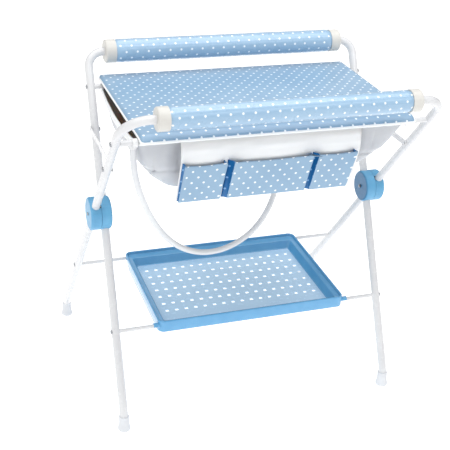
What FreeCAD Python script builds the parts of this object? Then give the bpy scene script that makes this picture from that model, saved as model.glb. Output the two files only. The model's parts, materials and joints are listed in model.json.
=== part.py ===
import FreeCAD, Part
import math
import os

# Folding changing table with a soft bath under a padded flip-up top.
# Two scissor frames (inner and outer) turn on a pair of side hubs. Millimetres, +Z up.
# Shapes are drawn with the hub axis at y = 0 and shifted by HUB_Y when they are written,
# so that the origin is the centre of the whole object's footprint, on the floor.

V = FreeCAD.Vector

# ---- driving dimensions -------------------------------------------------------------
TUBE_R = 11.0                 # leg tube, outer radius
TUBE_WALL = 1.5
INNER_X = 383.0               # inner leg tubes, distance from the middle plane
OUTER_X = 409.0               # outer leg tubes
HUB_Z = 542.0
INNER_LEAN = math.radians(22.75)   # inner frame, from vertical, top towards the rear
OUTER_LEAN = math.radians(42.57)   # outer frame, from vertical, top towards the front
FRONT_FOOT_Y = -207.0
REAR_FOOT_Y = 456.0
FOOT_BEND_FRONT = 120.0
FOOT_BEND_REAR = 46.0
FOOT_SEAT = 6.0               # the tube stands this far above the floor inside its foot
FOOT_R = 17.0
FOOT_SLEEVE_R = 13.5
FOOT_H = 42.0

REAR_ROLL_Z = 930.5
FRONT_ROLL_Z = 890.6
REAR_TOP_BEND = 41.0
FRONT_TOP_BEND = 66.0
REAR_PAD_R = 30.2
REAR_CAP_R = 30.7
FRONT_PAD_R = 27.0
FRONT_CAP_R = 28.6
CAP_LEN = 28.0
REAR_CAP_X = 338.0            # outer face of the rear roll's end caps
FRONT_CAP_X = 332.0
ROLL_BORE = 11.2

TUB_BAR_R = 7.0
REAR_TUB_BAR_Z = 847.0
FRONT_TUB_BAR_Z = 816.5
TRAY_BAR_R = 5.0
FRONT_TRAY_BAR_Z = 250.5
REAR_TRAY_BAR_Z = 282.5

HUB_R = 44.0
HUB_IN_X = 368.0              # inner face of the inner half
HUB_SEAM_X = 396.0
HUB_OUT_X = 424.0
HUB_GAP = 0.3                 # each half stops this far from the seam
HUB_EDGE = 6.0                # rounding of each half's outer edge
BOLT_R = 2.5
BOLT_HEAD_R = 4.5
BOLT_HEAD_H = 2.5
NUT_R = 4.8                   # across the nut's corners, from its axis
NUT_H = 4.0
BOLT_CLEAR = 0.06

LINK_T = 1.5
LINK_R = 8.0
LINK_IN_X = INNER_X + TUBE_R + 0.4
LINK_OUT_X = LINK_IN_X + LINK_T + 0.3
BRACE_INNER_Z = 744.0
BRACE_OUTER_Z = 726.0
LINK_SPLIT = 0.485
PIN_R = 3.0
PIN_CLEAR = 0.06

BOARD_HALF_X = 358.0
BOARD_GAP = 2.6               # from the tub bars to the underside of the top
BOARD_T = 12.0
BOARD_REAR_OVER = 36.0
BOARD_FRONT_OVER = 31.0
CORE_T = 5.0
CORE_INSET = 8.0
PIPING_R = 3.0

TUB_TOP_X = (-352.0, 344.0)
TUB_BOTTOM_X = (-272.0, 216.0)
TUB_T = 3.0
TUB_WAIST_X = (-326.0, 292.0)
TUB_WAIST_Y = (-232.0, 98.0)
TUB_WAIST_Z = (724.0, 734.0)  # at the front and at the rear
TUB_BOTTOM_Y = (-200.0, 62.0)
TUB_FLOOR_Z = 680.0
TUB_RIM_IN = 12.5             # from each tub bar's axis to the bath's rim
HEM_R = 8.8                   # the bath's hems, sewn round the tub bars

HOSE_R = 7.5
# the drain hose: out of the drain, down in a loop and up to its holder by the front bar
HOSE_ROUTE = [
    (82.0, -62.0, 655.0),
    (82.0, -62.0, 622.0),
    (72.0, -70.0, 580.0),
    (54.0, -78.0, 540.0),
    (27.0, -86.0, 503.0),
    (-8.0, -94.0, 474.0),
    (-52.0, -103.0, 454.0),
    (-100.0, -113.0, 446.0),
    (-150.0, -125.0, 452.0),
    (-197.0, -139.0, 472.0),
    (-239.0, -155.0, 504.0),
    (-275.0, -171.0, 546.0),
    (-305.0, -188.0, 594.0),
    (-330.0, -205.0, 646.0),
    (-350.0, -220.0, 701.0),
    (-361.0, -230.0, 752.0),
    (-363.0, -234.0, 796.0),
]

PANEL_X = (-255.0, 213.0)
PANEL_T = 2.5
POCKET_X = ((-250.0, -140.0), (-133.0, 90.0), (97.0, 204.0))
POCKET_T = 1.5

TRAY_MID_X = 4.0
TRAY_HALF_X = 272.0
TRAY_T = 2.6
TRAY_RIM_Z = 17.0             # above the line between the two tray bars
TRAY_DEPTH = 36.0
TRAY_CORNER = 18.0
TRAY_FRONT_OVER = 11.0        # beyond the front bar's axis
TRAY_REAR_OVER = 9.0
TRAY_LEDGE = 18.0             # from the outer wall to the basin, at the front and the sides
TRAY_REAR_LEDGE = 26.0
TRAY_TAPER = 5.0
SKIRT_T = 2.4
SKIRT_Z = -16.0               # lower edge of the outer wall
SKIRT_BACK = 28.0             # the side walls stop this far in front of the rear bar
HOLE = 10.0
HOLE_COLUMNS = 17
HOLE_ROWS = 7
HOLES_HALF_X = 222.0
HOLES_X = 6.0                 # middle of the pattern of holes
HOLES_FIRST_Y = 87.0          # the front and the last row, from the front bar
HOLES_LAST_Y = 304.0
CLIP_R = 8.0
CLIP_OUT = 12.0               # how far a clip stands out of the side wall
CLIP_IN = 7.0


# ---- places worked out from the driving dimensions ----------------------------------
def inner_y(z):
    return (z - HUB_Z) * math.tan(INNER_LEAN)


def outer_y(z):
    return -(z - HUB_Z) * math.tan(OUTER_LEAN)


REAR_ROLL = (inner_y(REAR_ROLL_Z), REAR_ROLL_Z)
FRONT_ROLL = (outer_y(FRONT_ROLL_Z), FRONT_ROLL_Z)
REAR_TUB_BAR = (inner_y(REAR_TUB_BAR_Z), REAR_TUB_BAR_Z)
FRONT_TUB_BAR = (outer_y(FRONT_TUB_BAR_Z), FRONT_TUB_BAR_Z)
FRONT_TRAY_BAR = (inner_y(FRONT_TRAY_BAR_Z), FRONT_TRAY_BAR_Z)
REAR_TRAY_BAR = (outer_y(REAR_TRAY_BAR_Z), REAR_TRAY_BAR_Z)
BRACE_INNER = (inner_y(BRACE_INNER_Z), BRACE_INNER_Z)
BRACE_OUTER = (outer_y(BRACE_OUTER_Z), BRACE_OUTER_Z)
BRACE_MID = tuple(a + (b - a) * LINK_SPLIT for a, b in zip(BRACE_INNER, BRACE_OUTER))
HUB_Y = -((REAR_FOOT_Y + FOOT_R) + (FRONT_ROLL[0] - FRONT_CAP_R)) / 2.0
os.makedirs("parts", exist_ok=True)


def write(name, shape):
    placed = shape.copy()
    placed.translate(V(0, HUB_Y, 0))
    placed.exportStep("parts/" + name + ".step")


# ---- building blocks -----------------------------------------------------------------
def rod(x0, x1, centre, radius):
    return Part.makeCylinder(radius, x1 - x0, V(x0, centre[0], centre[1]), V(1, 0, 0))


def ring(x0, x1, centre, radius, bore):
    return rod(x0, x1, centre, radius).cut(rod(x0 - 1, x1 + 1, centre, bore))


def rounded_path(points, radii):
    """Straight runs joined by tangent arcs, one radius for each inner point."""
    edges = []
    start = points[0]
    for before, corner, after, radius in zip(points, points[1:], points[2:], radii):
        a = (before - corner).normalize()
        b = (after - corner).normalize()
        half = (math.pi - a.getAngle(b)) / 2.0
        run = radius * math.tan(half)
        t0 = corner + a * run
        t1 = corner + b * run
        middle_way = (a + b).normalize()
        mid = corner + middle_way * (radius / math.cos(half) - radius)
        edges.append(Part.LineSegment(start, t0).toShape())
        edges.append(Part.Arc(t0, mid, t1).toShape())
        start = t1
    edges.append(Part.LineSegment(start, points[-1]).toShape())
    return Part.Wire(edges)


def swept(path, way, start, radius):
    disc = Part.Wire([Part.makeCircle(radius, start, way)])
    return path.makePipeShell([disc], True, True)


def bent_bar(points, radii, radius):
    return swept(rounded_path(points, radii), points[1] - points[0], points[0], radius)


def bent_tube(points, radii, radius, wall):
    return bent_bar(points, radii, radius).cut(bent_bar(points, radii, radius - wall))


def mirrored(shape):
    return shape.mirror(V(0, 0, 0), V(1, 0, 0))


def both_sides(left):
    return (("left", left), ("right", mirrored(left)))


def profile_prism(x0, x1, outline):
    """A closed outline of (y, z) points, drawn out along X."""
    corners = [V(x0, y, z) for y, z in outline]
    face = Part.Face(Part.makePolygon(corners + corners[:1]))
    return face.extrude(V(x1 - x0, 0, 0))


def rounded_box(x0, x1, y0, y1, z0, z1, radius):
    box = Part.makeBox(x1 - x0, y1 - y0, z1 - z0, V(x0, y0, z0))
    upright = [e for e in box.Edges if abs(e.tangentAt(e.FirstParameter).z) > 0.99]
    return box.makeFillet(radius, upright)


# ---- inner frame ---------------------------------------------------------------------
def inner_leg(make, *wall):
    points = [
        V(-INNER_X, FRONT_FOOT_Y, FOOT_SEAT),
        V(-INNER_X, FRONT_FOOT_Y, HUB_Z + FRONT_FOOT_Y / math.tan(INNER_LEAN)),
        V(-INNER_X, REAR_ROLL[0], REAR_ROLL[1]),
        V(-REAR_CAP_X, REAR_ROLL[0], REAR_ROLL[1]),
    ]
    leg = make(points, (FOOT_BEND_FRONT, REAR_TOP_BEND), TUBE_R, *wall)
    return leg.cut(rod(-INNER_X - 20, -INNER_X + 20, (0.0, HUB_Z), BOLT_R))


def outer_leg(make, *wall):
    points = [
        V(-OUTER_X, REAR_FOOT_Y, FOOT_SEAT),
        V(-OUTER_X, REAR_FOOT_Y, HUB_Z - REAR_FOOT_Y / math.tan(OUTER_LEAN)),
        V(-OUTER_X, FRONT_ROLL[0], FRONT_ROLL[1]),
        V(-FRONT_CAP_X, FRONT_ROLL[0], FRONT_ROLL[1]),
    ]
    leg = make(points, (FOOT_BEND_REAR, FRONT_TOP_BEND), TUBE_R, *wall)
    return leg.cut(rod(-OUTER_X - 20, -OUTER_X + 20, (0.0, HUB_Z), BOLT_R + BOLT_CLEAR))


def foot(x, y):
    outline = [
        V(0, 0, 0), V(FOOT_R - 3, 0, 0), V(FOOT_R, 0, 4), V(FOOT_R, 0, 8),
        V(FOOT_SLEEVE_R + 0.6, 0, 20), V(FOOT_SLEEVE_R, 0, FOOT_H), V(0, 0, FOOT_H), V(0, 0, 0),
    ]
    solid = Part.Face(Part.makePolygon(outline)).revolve(V(0, 0, 0), V(0, 0, 1), 360)
    solid.translate(V(x, y, 0))
    return solid


def roll_cap(outer_x, centre, radius):
    """End cap on the left: a rounded disc with a bore for the bar."""
    cap = rod(-outer_x, -outer_x + CAP_LEN, centre, radius)
    rim = [e for e in cap.Edges if e.Closed and e.BoundBox.XMax < -outer_x + 0.1]
    return cap.makeFillet(4.0, rim)


def hub_half(seam_x, face_x, tube, bore):
    """Half of a hub: rounded at its face, and nearly square where it meets the other half."""
    disc = rod(min(seam_x, face_x), max(seam_x, face_x), (0.0, HUB_Z), HUB_R)
    for x, radius in ((face_x, HUB_EDGE), (seam_x, 0.5)):
        rims = [e for e in disc.Edges if e.Closed and abs(e.CenterOfMass.x - x) < 0.1]
        disc = disc.makeFillet(radius, rims)
    return disc.cut(tube).cut(rod(-HUB_OUT_X - 1, -HUB_IN_X + 1, (0.0, HUB_Z), bore))


def channel_bar(lean, x):
    """A straight solid bar along a leg, for cutting the leg's channel in its hub."""
    bottom = V(x, -200 * math.tan(lean), HUB_Z - 200)
    way = V(0, math.sin(lean), math.cos(lean))
    return Part.makeCylinder(TUBE_R, 440, bottom, way)


def dome_head(x, centre, side, radius, height):
    """A round rivet head that stands off the plane x towards side."""
    base = V(x, centre[0], centre[1])
    head = Part.makeCylinder(radius, height, base, V(side, 0, 0))
    far = [e for e in head.Edges if e.Closed and abs(e.CenterOfMass.x - x) > height / 2]
    return head.makeFillet(height * 0.6, far)


LEFT_INNER = inner_leg(bent_tube, TUBE_WALL)
LEFT_OUTER = outer_leg(bent_tube, TUBE_WALL)
INNER_CHANNEL = channel_bar(INNER_LEAN, -INNER_X)
OUTER_CHANNEL = channel_bar(-OUTER_LEAN, -OUTER_X)


def coped(bar, channel):
    """A cross bar with its two ends shaped to the legs' round tubes."""
    return bar.cut(channel).cut(mirrored(channel))


def along(channel_lean, x, centre):
    way = V(0, math.sin(channel_lean), math.cos(channel_lean))
    return Part.makeCylinder(TUBE_R, 200, V(x, centre[0], centre[1]) - way * 100, way)


def cross_bar(centre, lean, x, radius, wall):
    bar = ring(-x, x, centre, radius, radius - wall)
    bar = coped(bar, along(lean, -x, centre))
    return bar


def rivet_heads(lean, x, centre, inboard):
    """A rivet's domed head on the outside of each leg, and one inside where it shows."""
    tube = along(lean, -x, centre)
    heads = [dome_head(-x - TUBE_R + 1.6, centre, -1.0, 6.0, 4.2).cut(tube)]
    if inboard:
        heads.append(dome_head(-x + TUBE_R - 1.6, centre, 1.0, 6.0, 4.2).cut(tube))
    return heads


for side, shape in both_sides(LEFT_INNER):
    write("inner_leg_" + side, shape)
for side, shape in both_sides(LEFT_OUTER):
    write("outer_leg_" + side, shape)

# each foot is a cup on the end of its leg
front_foot = foot(-INNER_X, FRONT_FOOT_Y).cut(inner_leg(bent_bar))
rear_foot = foot(-OUTER_X, REAR_FOOT_Y).cut(outer_leg(bent_bar))
for name, left in (("foot_front_", front_foot), ("foot_rear_", rear_foot)):
    for side, shape in both_sides(left):
        write(name + side, shape)

# rolls: a bar inside, a foam sleeve on it and a cap at each end
ROLLS = (
    ("rear_roll", REAR_ROLL, REAR_CAP_X, REAR_PAD_R, REAR_CAP_R),
    ("front_roll", FRONT_ROLL, FRONT_CAP_X, FRONT_PAD_R, FRONT_CAP_R),
)
for name, centre, cap_x, pad_r, cap_r in ROLLS:
    bar_x = cap_x - 2.0
    cap = roll_cap(cap_x, centre, cap_r).cut(rod(-cap_x - 1, -bar_x, centre, TUBE_R))
    cap = cap.cut(rod(-bar_x, -bar_x + CAP_LEN + 1, centre, TUBE_R))
    write(name + "_bar", ring(-bar_x, bar_x, centre, TUBE_R, TUBE_R - TUBE_WALL))
    foam_x = cap_x - CAP_LEN
    write(name + "_pad", ring(-foam_x, foam_x, centre, pad_r, ROLL_BORE))
    for side, shape in both_sides(cap):
        write(name + "_cap_" + side, shape)

# cross bars
write("rear_tub_bar", cross_bar(REAR_TUB_BAR, INNER_LEAN, INNER_X, TUB_BAR_R, 1.2))
write("front_tub_bar", cross_bar(FRONT_TUB_BAR, -OUTER_LEAN, OUTER_X, TUB_BAR_R, 1.2))
write("front_tray_bar", cross_bar(FRONT_TRAY_BAR, INNER_LEAN, INNER_X, TRAY_BAR_R, 1.0))
write("rear_tray_bar", cross_bar(REAR_TRAY_BAR, -OUTER_LEAN, OUTER_X, TRAY_BAR_R, 1.0))

# rivets, one node of separate heads for each frame
inner_rivets = []
inner_rivets += rivet_heads(INNER_LEAN, INNER_X, REAR_TUB_BAR, False)
inner_rivets += rivet_heads(INNER_LEAN, INNER_X, FRONT_TRAY_BAR, False)
outer_rivets = []
outer_rivets += rivet_heads(-OUTER_LEAN, OUTER_X, FRONT_TUB_BAR, False)
outer_rivets += rivet_heads(-OUTER_LEAN, OUTER_X, REAR_TRAY_BAR, False)
outer_rivets += rivet_heads(-OUTER_LEAN, OUTER_X, BRACE_OUTER, False)
for name, heads in (("inner_frame_rivets", inner_rivets), ("outer_frame_rivets", outer_rivets)):
    write(name, Part.makeCompound(heads + [mirrored(h) for h in heads]))

# ---- hubs ------------------------------------------------------------------------------
inner_half = hub_half(-HUB_SEAM_X + HUB_GAP, -HUB_IN_X, INNER_CHANNEL, BOLT_R)
outer_half = hub_half(-HUB_SEAM_X - HUB_GAP, -HUB_OUT_X, OUTER_CHANNEL, BOLT_R + BOLT_CLEAR)
# the half is cored beside the outer tube, which leaves a slot at the rim
SLOT_W, SLOT_L, SLOT_DEEP = 5.0, 14.0, 12.0
slot_low = V(-HUB_SEAM_X - SLOT_W, -SLOT_L / 2, HUB_Z + HUB_R - SLOT_DEEP)
slot = Part.makeBox(SLOT_W, SLOT_L, SLOT_DEEP + 1.0, slot_low)
slot.rotate(V(0, 0, HUB_Z), V(1, 0, 0), math.degrees(OUTER_LEAN))
outer_half = outer_half.cut(slot)
for side, shape in both_sides(inner_half):
    write("hub_inner_shell_" + side, shape)
for side, shape in both_sides(outer_half):
    write("hub_outer_shell_" + side, shape)

bolt = rod(-HUB_OUT_X - 0.3, -HUB_IN_X + NUT_H + 1, (0.0, HUB_Z), BOLT_R)
bolt_head = dome_head(-HUB_OUT_X - 0.3, (0.0, HUB_Z), -1.0, BOLT_HEAD_R, BOLT_HEAD_H)
bolt = bolt.fuse(bolt_head).removeSplitter()
nut_corners = []
for k in range(7):
    turn = k * math.pi / 3
    nut_corners.append(V(-HUB_IN_X, NUT_R * math.cos(turn), HUB_Z + NUT_R * math.sin(turn)))
nut = Part.Face(Part.makePolygon(nut_corners)).extrude(V(NUT_H, 0, 0))
nut = nut.cut(rod(-HUB_IN_X - 1, -HUB_IN_X + NUT_H + 1, (0.0, HUB_Z), BOLT_R))
for side, shape in both_sides(bolt):
    write("hub_bolt_" + side, shape)
for side, shape in both_sides(nut):
    write("hub_nut_" + side, shape)

# ---- braces ------------------------------------------------------------------------------
def link(x0, a, b, overrun):
    """A flat bar with round ends between two pivots, on the left side."""
    way = V(0, b[0] - a[0], b[1] - a[1])
    length = way.Length
    way.normalize()
    start = V(x0, a[0], a[1])
    bar = Part.makeCylinder(LINK_R, LINK_T, start, V(1, 0, 0))
    end = start + way * (length + overrun)
    bar = bar.fuse(Part.makeCylinder(LINK_R, LINK_T, end, V(1, 0, 0)))
    across = V(0, -way.z, way.y) * LINK_R
    corners = [start + across, end + across, end - across, start - across, start + across]
    web = Part.Face(Part.makePolygon(corners)).extrude(V(LINK_T, 0, 0))
    return bar.fuse(web).removeSplitter()


in_plane = -LINK_IN_X - LINK_T
out_plane = -LINK_OUT_X - LINK_T
pivot_in = rod(in_plane - 1, in_plane + LINK_T + 1, BRACE_INNER, PIN_R + PIN_CLEAR)
upper = link(in_plane, BRACE_INNER, BRACE_MID, 14.0).cut(pivot_in)
mid_pin = rod(out_plane, in_plane + 0.5, BRACE_MID, PIN_R)
upper = upper.fuse(mid_pin).removeSplitter()
pivot_mid = rod(out_plane - 1, out_plane + LINK_T + 1, BRACE_MID, PIN_R + PIN_CLEAR)
pivot_out = rod(out_plane - 1, out_plane + LINK_T + 1, BRACE_OUTER, PIN_R + 0.5)
lower = link(out_plane, BRACE_MID, BRACE_OUTER, 0.0).cut(pivot_mid).cut(pivot_out)
for side, shape in both_sides(upper):
    write("brace_upper_link_" + side, shape)
for side, shape in both_sides(lower):
    write("brace_lower_link_" + side, shape)

# the pin that carries each upper link, through the inner leg
brace_tube = along(INNER_LEAN, -INNER_X, BRACE_INNER)
pin_outside = rod(in_plane, -INNER_X - TUBE_R + 2.0, BRACE_INNER, PIN_R).cut(brace_tube)
pin_inside = dome_head(-INNER_X + TUBE_R - 1.6, BRACE_INNER, 1.0, 6.0, 4.2).cut(brace_tube)
pins = [pin_outside, pin_inside]
write("brace_pins", Part.makeCompound(pins + [mirrored(p) for p in pins]))

# ---- padded top ----------------------------------------------------------------------------
# the top lies on the two tub bars, in the plane that touches both
BAR_LINE = V(0, REAR_TUB_BAR[0] - FRONT_TUB_BAR[0], REAR_TUB_BAR[1] - FRONT_TUB_BAR[1])
BOARD_PITCH = math.atan2(BAR_LINE.z, BAR_LINE.y)
BOARD_FROM = -BAR_LINE.Length - BOARD_FRONT_OVER
BOARD_TO = BOARD_REAR_OVER


def on_board(shape):
    """From the top's own frame (y back from the rear bar's axis, z up off it) to the object's."""
    placed = shape.copy()
    placed.rotate(V(0, 0, 0), V(1, 0, 0), math.degrees(BOARD_PITCH))
    placed.translate(V(0, REAR_TUB_BAR[0], REAR_TUB_BAR[1]))
    return placed


under = TUB_BAR_R + BOARD_GAP
core_z = under + (BOARD_T - CORE_T) / 2.0
core_box = (
    -BOARD_HALF_X + CORE_INSET, BOARD_HALF_X - CORE_INSET,
    BOARD_FROM + CORE_INSET, BOARD_TO - CORE_INSET,
)
core = rounded_box(*core_box, core_z, core_z + CORE_T, 6.0)
pad_box = (
    -BOARD_HALF_X + PIPING_R, BOARD_HALF_X - PIPING_R,
    BOARD_FROM + PIPING_R, BOARD_TO - PIPING_R,
)
pad = rounded_box(*pad_box, under, under + BOARD_T, 10.0)
HINGE_X = 300.0
HINGE_HALF = 14.0
SLEEVE_R = TUB_BAR_R + 1.8
EYE_R = SLEEVE_R + 2.4
sleeves = []
eyes = []
for x in (-HINGE_X, HINGE_X):
    x0, x1 = x - HINGE_HALF, x + HINGE_HALF
    sleeves.append(ring(x0, x1, (0.0, 0.0), SLEEVE_R, TUB_BAR_R + BOLT_CLEAR))
    eye = ring(x0, x1, (0.0, 0.0), EYE_R, SLEEVE_R + BOLT_CLEAR)
    above = Part.makeBox(4 * HINGE_HALF, 4 * EYE_R, EYE_R, V(x - 2 * HINGE_HALF, -2 * EYE_R, under))
    eyes.append(eye.cut(above))
write("hinge_sleeves", on_board(Part.makeCompound(sleeves)))
write("top_hinge_eyes", on_board(Part.makeCompound(eyes)))
write("top_core", on_board(core))
write("top_pad", on_board(pad.cut(core)))


def edge_piping():
    y0, y1 = BOARD_FROM + PIPING_R, BOARD_TO - PIPING_R
    x1 = BOARD_HALF_X - PIPING_R
    z = under + BOARD_T - PIPING_R
    r = 10.0
    corners = [
        V(0, y0, z), V(x1, y0, z), V(x1, y1, z), V(-x1, y1, z), V(-x1, y0, z), V(0, y0, z),
    ]
    path = rounded_path(corners, (r, r, r, r))
    disc = Part.Wire([Part.makeCircle(PIPING_R, corners[0], V(1, 0, 0))])
    return path.makePipeShell([disc], True, True)


piping = edge_piping()
write("top_piping", on_board(piping.cut(pad)))

# ---- bath ----------------------------------------------------------------------------------
def loop_face(x_pair, y_pair, z_front, z_rear):
    corners = [
        V(x_pair[0], y_pair[0], z_front), V(x_pair[1], y_pair[0], z_front),
        V(x_pair[1], y_pair[1], z_rear), V(x_pair[0], y_pair[1], z_rear),
    ]
    return Part.makePolygon(corners + corners[:1])


def basin(shrink):
    """The bath as a tapering block, inset by its wall for the inside."""
    top = loop_face(
        (TUB_TOP_X[0] + shrink, TUB_TOP_X[1] - shrink),
        (FRONT_TUB_BAR[0] + TUB_RIM_IN + shrink, REAR_TUB_BAR[0] - TUB_RIM_IN - shrink),
        FRONT_TUB_BAR[1] + 2.0, REAR_TUB_BAR[1] - 2.0,
    )
    waist = loop_face(
        (TUB_WAIST_X[0] + shrink, TUB_WAIST_X[1] - shrink),
        (TUB_WAIST_Y[0] + shrink, TUB_WAIST_Y[1] - shrink),
        *TUB_WAIST_Z,
    )
    lift = shrink if shrink > 0 else 0.0
    floor = loop_face(
        (TUB_BOTTOM_X[0] + shrink, TUB_BOTTOM_X[1] - shrink),
        (TUB_BOTTOM_Y[0] + shrink, TUB_BOTTOM_Y[1] - shrink),
        TUB_FLOOR_Z + lift, TUB_FLOOR_Z + lift,
    )
    return Part.makeLoft([top, waist, floor], True, True)


hem_bore = TUB_BAR_R + 0.05
HEM_END = 354.0
hinge_in, hinge_out = HINGE_X - HINGE_HALF - 2.0, HINGE_X + HINGE_HALF + 2.0
hems_rear = [
    ring(-HEM_END, -hinge_out, REAR_TUB_BAR, HEM_R, hem_bore),
    ring(-hinge_in, hinge_in, REAR_TUB_BAR, HEM_R, hem_bore),
    ring(hinge_out, HEM_END - 6.0, REAR_TUB_BAR, HEM_R, hem_bore),
]
hems_front = [
    ring(-HEM_END, PANEL_X[0] - 1.0, FRONT_TUB_BAR, HEM_R, hem_bore),
    ring(PANEL_X[1] + 1.0, HEM_END - 6.0, FRONT_TUB_BAR, HEM_R, hem_bore),
]
write("bath_hem_rear", Part.makeCompound(hems_rear))
write("bath_hem_front", Part.makeCompound(hems_front))

DRAIN = (HOSE_ROUTE[0][0], HOSE_ROUTE[0][1])
SPOUT_FOOT = HOSE_ROUTE[0][2]
SPOUT_R = 8.9
basin_inside = basin(TUB_T)
tub = basin(0.0).cut(basin_inside)
tub = tub.cut(Part.makeCylinder(SPOUT_R + 0.1, 20, V(*DRAIN, TUB_FLOOR_Z - 8)))
write("bath_tub", tub)

flange = Part.makeCylinder(19.0, 3.0, V(*DRAIN, TUB_FLOOR_Z - 3.0))
spout = Part.makeCylinder(SPOUT_R, TUB_FLOOR_Z - SPOUT_FOOT, V(*DRAIN, SPOUT_FOOT))
drain = flange.fuse(spout).removeSplitter()
write("bath_drain", drain)


def hose():
    points = [V(*p) for p in HOSE_ROUTE]
    radii = []
    for before, corner, after in zip(points, points[1:], points[2:]):
        a = before - corner
        b = after - corner
        shorter = min(a.Length, b.Length)
        half = (math.pi - a.getAngle(b)) / 2.0
        radii.append(0.45 * shorter / math.tan(half))
    print("hose radii", [round(r) for r in radii])
    path = rounded_path(points, radii)
    solid = swept(path, points[1] - points[0], points[0], HOSE_R)
    print("hose length", round(path.Length), "volume ratio",
          round(solid.Volume / (math.pi * HOSE_R ** 2 * path.Length), 4))
    return solid


write("drain_hose", hose())
end = V(*HOSE_ROUTE[-1])
last_way = (end - V(*HOSE_ROUTE[-2])).normalize()
plug = Part.makeCylinder(8.5, 16.0, end, last_way)
plug = plug.fuse(Part.makeCylinder(6.5, 6.0, end + last_way * 16.0, last_way)).removeSplitter()
write("hose_stopper", plug)

# the holder: an eye round the stopper on a ring round the front tub bar
bar_ring = ring(end.x - 6, end.x + 6, FRONT_TUB_BAR, TUB_BAR_R + 3.0, TUB_BAR_R)
holder_eye = Part.makeCylinder(12.0, 9.0, end + last_way * 5.0, last_way)
neck = Part.makeBox(8.0, 10.0, 10.0, V(end.x - 4.0, FRONT_TUB_BAR[0] + 2.0, end.z + 5.0))
holder = bar_ring.fuse(holder_eye).fuse(neck).removeSplitter()
holder = holder.cut(Part.makeCylinder(8.5, 40.0, end - last_way * 10.0, last_way))
holder = holder.cut(rod(end.x - 20, end.x + 20, FRONT_TUB_BAR, TUB_BAR_R))
write("hose_holder", holder)

# ---- pocket panel ---------------------------------------------------------------------------
PANEL_Y = FRONT_TUB_BAR[0] - TUB_BAR_R - 5.5
PANEL_TOP = FRONT_TUB_BAR[1] - 8.0
PANEL_KNEE = 760.0
PANEL_FOOT_Z = 648.0
PANEL_FOOT_Y = PANEL_Y + 42.0
backing_outline = [
    (PANEL_Y, PANEL_TOP), (PANEL_Y, PANEL_KNEE), (PANEL_FOOT_Y, PANEL_FOOT_Z),
    (PANEL_FOOT_Y + PANEL_T, PANEL_FOOT_Z), (PANEL_Y + PANEL_T, PANEL_KNEE),
    (PANEL_Y + PANEL_T, PANEL_TOP),
]
backing = profile_prism(PANEL_X[0], PANEL_X[1], backing_outline)
write("pocket_backing", backing)
hang_bar = ring(PANEL_X[0], PANEL_X[1], FRONT_TUB_BAR, TUB_BAR_R + 2.0, TUB_BAR_R + 0.05)
strip = Part.makeBox(
    PANEL_X[1] - PANEL_X[0], 7.0, 10.0,
    V(PANEL_X[0], PANEL_Y, PANEL_TOP),
)
sleeve = hang_bar.fuse(strip).removeSplitter()
sleeve = sleeve.cut(rod(PANEL_X[0] - 1, PANEL_X[1] + 1, FRONT_TUB_BAR, TUB_BAR_R + 0.05))
write("pocket_sleeve", sleeve)


def pocket(x0, x1):
    """A pouch that is open at the top, standing off the backing."""
    proud_top = 20.0
    proud_foot = 12.0
    slope = (PANEL_FOOT_Y - PANEL_Y) / (PANEL_KNEE - PANEL_FOOT_Z)
    z0 = PANEL_FOOT_Z + 1.0
    z1 = PANEL_KNEE - 2.0
    y_low = PANEL_Y + slope * (PANEL_KNEE - z0)
    y_high = PANEL_Y + slope * (PANEL_KNEE - z1)
    outside = [
        (y_low, z0), (y_high, z1), (y_high - proud_top, z1), (y_low - proud_foot, z0),
    ]
    inside = [
        (y_low + 5.0, z0 + POCKET_T), (y_high + 5.0, z1 + 1.0),
        (y_high - proud_top + POCKET_T, z1 + 1.0), (y_low - proud_foot + POCKET_T, z0 + POCKET_T),
    ]
    pouch = profile_prism(x0, x1, outside)
    return pouch.cut(profile_prism(x0 + POCKET_T, x1 - POCKET_T, inside))


for name, (x0, x1) in zip(("left", "middle", "right"), POCKET_X):
    write("pocket_" + name, pocket(x0, x1))

# ---- tray --------------------------------------------------------------------------------
TRAY_LINE = V(0, REAR_TRAY_BAR[0] - FRONT_TRAY_BAR[0], REAR_TRAY_BAR[1] - FRONT_TRAY_BAR[1])
TRAY_PITCH = math.atan2(TRAY_LINE.z, TRAY_LINE.y)
TRAY_FRONT = -TRAY_FRONT_OVER
TRAY_REAR = TRAY_LINE.Length + TRAY_REAR_OVER
TRAY_LEFT = TRAY_MID_X - TRAY_HALF_X
TRAY_RIGHT = TRAY_MID_X + TRAY_HALF_X
LEDGE_UNDER = TRAY_BAR_R + 0.4
LEDGE_TOP = LEDGE_UNDER + TRAY_T
ALL_X = 500.0                 # wider than the whole object


def on_tray(shape):
    """From the tray's own frame (y back from the front tray bar's axis) to the object's."""
    placed = shape.copy()
    placed.rotate(V(0, 0, 0), V(1, 0, 0), math.degrees(TRAY_PITCH))
    placed.translate(V(0, FRONT_TRAY_BAR[0], FRONT_TRAY_BAR[1]))
    return placed


def tray_block(inset, z0, z1, rear_inset=None):
    """An upright block with round corners, inset from the tray's outline."""
    back = TRAY_REAR - (inset if rear_inset is None else rear_inset)
    radius = max(8.0, TRAY_CORNER - inset)
    return rounded_box(TRAY_LEFT + inset, TRAY_RIGHT - inset, TRAY_FRONT + inset, back, z0, z1, radius)


def basin_loop(inset, z):
    block = tray_block(TRAY_LEDGE + inset, z, z + 1.0, TRAY_REAR_LEDGE + inset)
    low = [f for f in block.Faces if abs(f.CenterOfMass.z - z) < 1e-6]
    return low[0].OuterWire


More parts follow.
